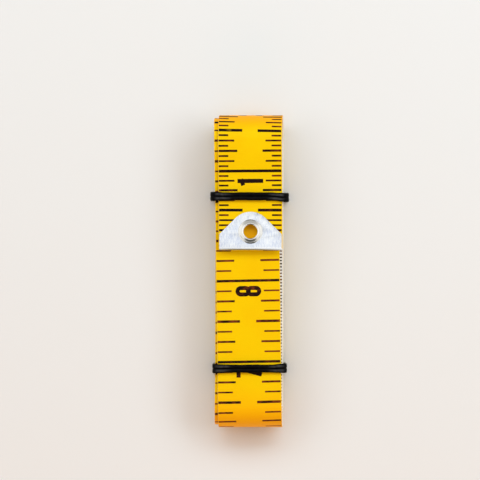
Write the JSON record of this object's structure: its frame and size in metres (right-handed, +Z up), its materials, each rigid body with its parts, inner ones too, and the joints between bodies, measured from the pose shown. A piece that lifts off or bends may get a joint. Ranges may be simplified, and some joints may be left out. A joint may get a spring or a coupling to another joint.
{
  "type": "tape measure",
  "caption": "Cloth tape measure wound flat into a hank, with a metal end tab and hanging eyelet, held by black rubber bands.",
  "frame": {"origin": "centre of the underside of the hank's bounding box, on the surface that its two bands lie on", "axes": "+X across the tape, +Y along the hank towards the loop that the tape goes over first, +Z up through the stack, out of the face with the end tab"},
  "size_m": [0.0244, 0.098, 0.0179],
  "materials": {
    "tape": "satin soft PVC coating on woven cloth, golden yellow with dark printed inch scale outside, white with millimetre scale inside",
    "tab_metal": "brushed nickel-plated sheet",
    "eyelet_nickel": "polished nickel",
    "band_rubber": "smooth black rubber, slightly glossy"
  },
  "bodies": {
    "hank": {"tape_winding": "tape", "inner_ferrule": "tab_metal"},
    "flap": {"tape_free_end": "tape", "end_tab": "tab_metal", "eyelet": "eyelet_nickel"},
    "upper_band": {"upper_band": "band_rubber"},
    "lower_band": {"lower_band": "band_rubber"}
  },
  "joints": [
    {"name": "flap_lift", "type": "hinge", "parent": "hank", "child": "flap", "pos_m": [0.00026, 0.0205, 0.01568], "axis": [-1, 0, 0], "range_deg": [0, 120]},
    {"name": "upper_band_slide", "type": "slide", "parent": "hank", "child": "upper_band", "axis": [0, 1, 0], "range_m": [0, 0.005]},
    {"name": "lower_band_slide", "type": "slide", "parent": "hank", "child": "lower_band", "axis": [0, 1, 0], "range_m": [0, 0.034]}
  ]
}
